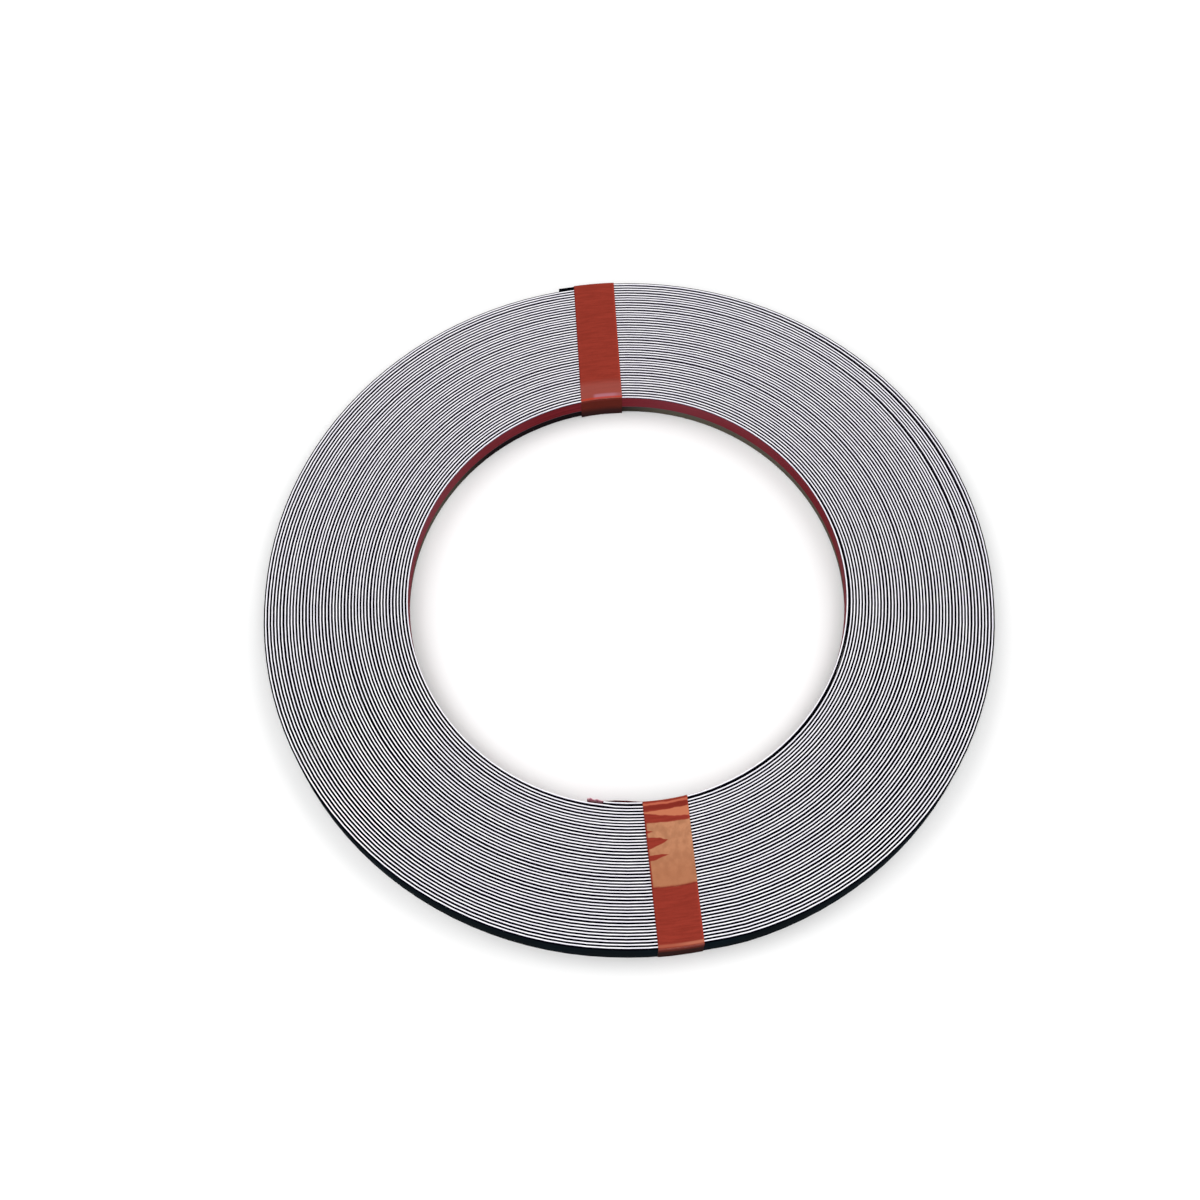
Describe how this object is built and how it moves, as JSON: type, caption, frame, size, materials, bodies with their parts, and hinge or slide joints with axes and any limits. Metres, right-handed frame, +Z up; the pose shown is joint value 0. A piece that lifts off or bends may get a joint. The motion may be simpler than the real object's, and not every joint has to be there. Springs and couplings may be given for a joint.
{
  "type": "foil tape roll",
  "caption": "Coreless pancake roll of narrow self-adhesive foil strip, wound in one flat spiral with its release liner and held shut by two bands of packing tape.",
  "frame": {"origin": "on the winding axis, on the surface that the roll lies on", "axes": "+Z up along the winding axis, the rear retaining band towards +Y and the front one towards -Y"},
  "size_m": [0.125, 0.1254, 0.0059],
  "materials": {
    "liner_film": "burgundy release film, smooth and slightly glossy",
    "white_adhesive": "soft white adhesive carrier with a clean slit edge, matte",
    "foil": "dark slate outer face with a satin sheen, olive-grey inner face, near-black slit edges",
    "band_adhesive": "clear brownish pressure-sensitive adhesive",
    "band_film": "rust-brown packing tape film, glossy with fine wrinkles"
  },
  "bodies": {
    "root": {"release_liner": "liner_film", "adhesive_layer": "white_adhesive", "foil_strip": "foil", "front_band_adhesive": "band_adhesive", "front_band_film": "band_film", "rear_band_adhesive": "band_adhesive", "rear_band_film": "band_film"}
  },
  "joints": []
}
